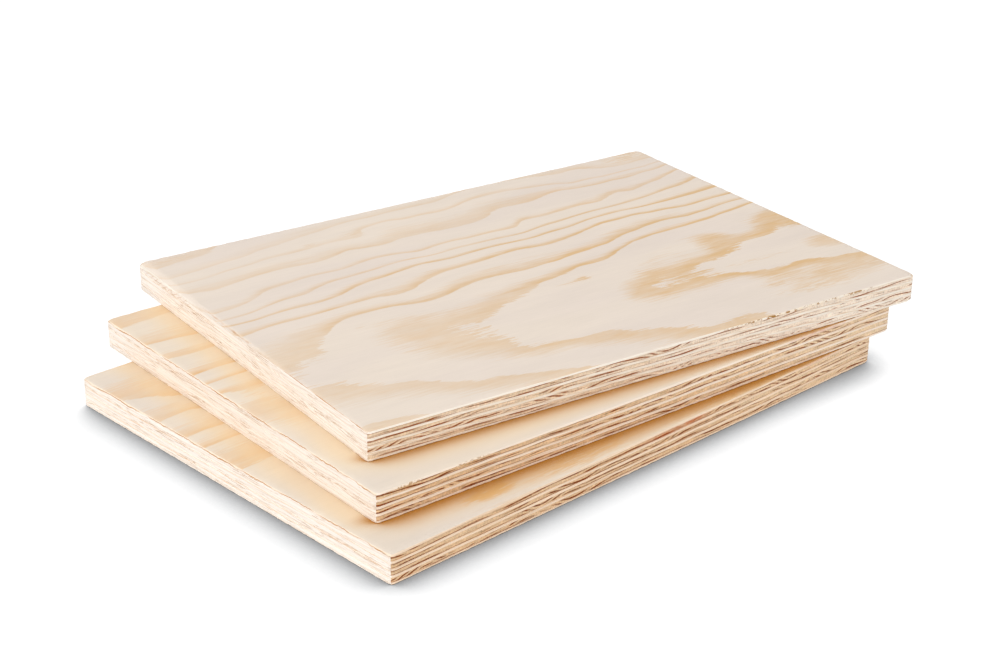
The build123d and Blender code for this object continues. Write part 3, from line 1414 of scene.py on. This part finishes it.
    def _roughen(self, hand: Modeller) -> None:
        """Lets the plies wander, and tears and chips the edges inward.

        Args:
            hand: The modeller that holds the sheet.
        """
        for group, size, depth, axis, level in (
            ("wandering plies", self.wander_size, self.wander_depth, "Z", 0.5),
            ("torn end grain", self.tear_size, self.tear_depth, "NORMAL", 1.0),
            ("chipped arris", self.chip_size, self.chip_depth, "NORMAL", 1.0),
        ):
            noise = bpy.data.textures.new(f"{self.node} {group}", "CLOUDS")
            noise.noise_scale = size * MM
            noise.noise_depth = 2
            hand.apply_modifier(
                group, "DISPLACE", texture=noise, texture_coords="LOCAL", direction=axis,
                mid_level=level, strength=depth * MM, vertex_group=group,
            )

    def dress(self, blank: SawnSheet) -> None:
        """Gives the sheet its finish and puts it in the frame in its solid's place.

        Args:
            blank: The sizes of the sawn sheet.
        """
        self.thing.data.materials.clear()
        pine = self.finish.material(f"bare_pine_{self.node}", blank, self.seat.turn)
        self.thing.data.materials.append(pine)
        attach(self.thing, BODY)
        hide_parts(self.node)

    def report(self) -> None:
        """Logs what was built."""
        faces = self.thing.data.polygons
        triangles = sum(face.loop_total - 2 for face in faces)
        log.info("%s: %d faces, %d triangles", self.thing.name, len(faces), triangles)


@dataclass
class Stack:
    """The three sheets, fanned a little like cards."""

    blank: SawnSheet = field(default_factory=SawnSheet)
    sheets: list[PlywoodSheet] = field(default_factory=list)

    def __post_init__(self) -> None:
        """Sets out the sheets from the lowest up."""
        pale = RotaryPine(TOP_FIGURE, 0.13, dive=0.045, skin_depth=0.3)
        warm = RotaryPine(
            MIDDLE_FIGURE, 0.71, spring="#F2E3D0", spring_grey="#EDE0D2", summer="#EBBA7C",
            edge_spring="#FFEEDC", end_spring="#EAC498", end_dry="#F3DAB8", end_summer="#8C450E",
            face_softness=0.3, dry_from=160, dry_to=460,
        )
        # The bottom sheet's painted crevice shade starts further from the contact.
        warmest = replace(
            warm, figure=BOTTOM_FIGURE, seed=0.37, edge_spring="#FFE6CB",
            painted_crevice_shade_range=(0.87, 0.56), dry_from=200, dry_to=480,
        )
        self.sheets = [
            PlywoodSheet(
                "bottom_sheet", Seat(0), warmest,
                (Knock(-1, 1, 1, 0.6), Knock(1, -1, -1, 0.7), Knock(1, 1, 1, 0.4),
                 Knock(-1, -1, 1, 0.25)),
                BOTTOM_MARKS,
            ),
            PlywoodSheet(
                "middle_sheet", Seat(1, -4.5, 15, 28.5), warm,
                (Knock(-1, 1, 1, 0.7), Knock(1, -1, -1, 0.6), Knock(1, 1, -1, 0.5),
                 Knock(-1, -1, -1, 0.25)),
                MIDDLE_MARKS,
            ),
            PlywoodSheet(
                "top_sheet", Seat(2, -9.45, 34, 57.5), pale,
                (RubbedEnd(), Knock(1, -1, 1, 0.8), Knock(1, -1, -1, 0.8), Knock(1, 1, 1, 0.4),
                 Knock(-1, -1, 1, 0.3)),
                TOP_MARKS,
            ),
        ]

    def build(self) -> None:
        """Models the sawn sheet once, and makes each sheet of the stack from a copy of it."""
        pattern = self.blank.build("sawn_sheet")
        for sheet in self.sheets:
            sheet.build(self.blank, pattern)
            sheet.dress(self.blank)
            sheet.report()
        bpy.data.objects.remove(pattern)


@dataclass(frozen=True)
class Softbox:
    """A square lamp: where it stands, what it points at and how strong it is."""

    name: str
    place: tuple[float, float, float]
    side: float
    power: float
    aim: tuple[float, float, float] = (0.05, 0.02, 0.03)

    def hang(self) -> None:
        """Puts the lamp in the scene."""
        lamp = bpy.data.lights.new(self.name, "AREA")
        lamp.shape = "SQUARE"
        lamp.size = self.side
        lamp.energy = self.power
        thing = bpy.data.objects.new(self.name, lamp)
        bpy.context.scene.collection.objects.link(thing)
        thing.location = self.place
        look = Vector(self.aim) - Vector(self.place)
        thing.rotation_euler = look.to_track_quat("-Z", "Y").to_euler()


@dataclass
class Studio:
    """The floor, the lamps and the camera of a plain pale studio."""

    floor_side: float = 12.0
    floor_sink: float = 0.02
    floor_colour: str = "#F2F2F2"
    # The painted shadow on the floor: its reach, its spread, its lean and its cool colour.
    shade_reach: float = 34.0
    shade_range: tuple[float, float] = (0.09, 0.93)
    shade_lean: tuple[float, float, float] = (0.45, 0.5, 0.8)
    shade_colour: str = "#E9EDF2"
    lit_colour: str = "#FFFFFF"
    paper_share: float = 0.12
    sky: float = 0.52
    camera_place: tuple[float, float, float] = (-774.2, -802.6, 537.8)
    look_azimuth: float = 47.487
    look_down: float = 24.346
    roll: float = 0.119
    lens: float = 72.354
    shift: float = 0.06
    lamps: tuple[Softbox, ...] = (
        Softbox("overhead_softbox", (0.2, 0.1, 4.0), 2.8, 22),
        Softbox("left_key", (-2.8, 0.2, 2.8), 2.4, 56),
        Softbox("left_fill", (-4.4, -0.8, 0.7), 2.4, 44),
        Softbox("near_fill", (0.3, -4.4, 0.7), 2.4, 38),
    )

    def build(self) -> None:
        """Sets up the whole studio."""
        self._floor()
        self._sky()
        self._camera()
        for lamp in self.lamps:
            lamp.hang()
        bpy.context.scene.view_settings.view_transform = "Standard"

    def _seen(self, wiring: Wiring) -> bpy.types.Node:
        """Gives 1 for rays that see the backdrop straight, in gloss or through glass."""
        path = wiring.add("LightPath").outputs
        gloss = wiring.add(
            "Math", path["Is Glossy Ray"], path["Is Transmission Ray"], operation="MAXIMUM"
        )
        return wiring.add("Math", path["Is Camera Ray"], gloss, operation="MAXIMUM")

    def _floor(self) -> None:
        """Lays the floor just under the stack, white to the eye, with a painted shadow round it."""
        bpy.ops.object.select_all(action="DESELECT")
        bpy.ops.mesh.primitive_grid_add(
            x_subdivisions=4, y_subdivisions=4, size=self.floor_side,
            location=(0, 0, -self.floor_sink * MM),
        )
        floor = bpy.context.active_object
        floor.name = "studio_floor"
        bpy.ops.object.transform_apply(location=True, rotation=True, scale=True)
        material = bpy.data.materials.new("matt_white_paper")
        wiring = Wiring(material)
        # Painted shadow: occlusion round a normal leaned back and right, as if lit from there.
        lean = wiring.add("VectorMath", self.shade_lean, operation="NORMALIZE")
        reach = {"Distance": self.shade_reach * MM, "Normal": lean}
        shade = wiring.add("AmbientOcclusion", named=reach, samples=16).outputs["AO"]
        shade = wiring.add("MapRange", shade, *self.shade_range, **SMOOTH)
        tints = linear(self.shade_colour), linear(self.lit_colour)
        tint = wiring.add("Mix", shade, *tints, **COLOUR)
        # Seen straight: white glow with the painted shadow, and a little real shading of the paper.
        seen = self._seen(wiring)
        painted_glow = wiring.add("Math", seen, shade, operation="MULTIPLY")
        share = wiring.add("Mix", seen, 1.0, self.paper_share)
        paint = linear(self.floor_colour)[:3]
        colour = wiring.add("VectorMath", paint, share, operation="SCALE")
        paper = wiring.add("BsdfDiffuse", colour)
        white = wiring.add("Emission", tint, painted_glow)
        wiring.add("OutputMaterial", wiring.add("AddShader", paper, white))
        floor.data.materials.append(material)

    def _sky(self) -> None:
        """Lights the studio evenly from all round, and shows white behind the floor."""
        world = bpy.data.worlds.new("white_studio")
        bpy.context.scene.world = world
        wiring = Wiring(world)
        strength = wiring.add("MapRange", self._seen(wiring), 0.0, 1.0, self.sky, 1.0)
        light = wiring.add("Background", linear(self.lit_colour), strength)
        wiring.add("OutputWorld", light)

    def _camera(self) -> None:
        """Stands the camera where the photograph was taken from."""
        data = bpy.data.cameras.new("camera")
        data.lens = self.lens
        data.sensor_width = 36.0
        data.shift_x = self.shift
        thing = bpy.data.objects.new("camera", data)
        bpy.context.scene.collection.objects.link(thing)
        azimuth, down = math.radians(self.look_azimuth), math.radians(self.look_down)
        look = Vector((math.cos(down) * math.cos(azimuth), math.cos(down) * math.sin(azimuth),
                       -math.sin(down)))
        right = look.cross(Vector((0, 0, 1))).normalized()
        up = right.cross(look)
        tilt = Matrix.Rotation(math.radians(-self.roll), 3, look)
        axes = Matrix((tilt @ right, tilt @ up, -look)).transposed()
        thing.matrix_world = Matrix.Translation(Vector(self.camera_place) * MM) @ axes.to_4x4()
        bpy.context.scene.camera = thing


def main() -> None:
    """Builds the stack and the studio around it."""
    logging.basicConfig(level=logging.INFO, format="%(name)s: %(message)s")
    Stack().build()
    Studio().build()


if __name__ == "__main__":
    main()
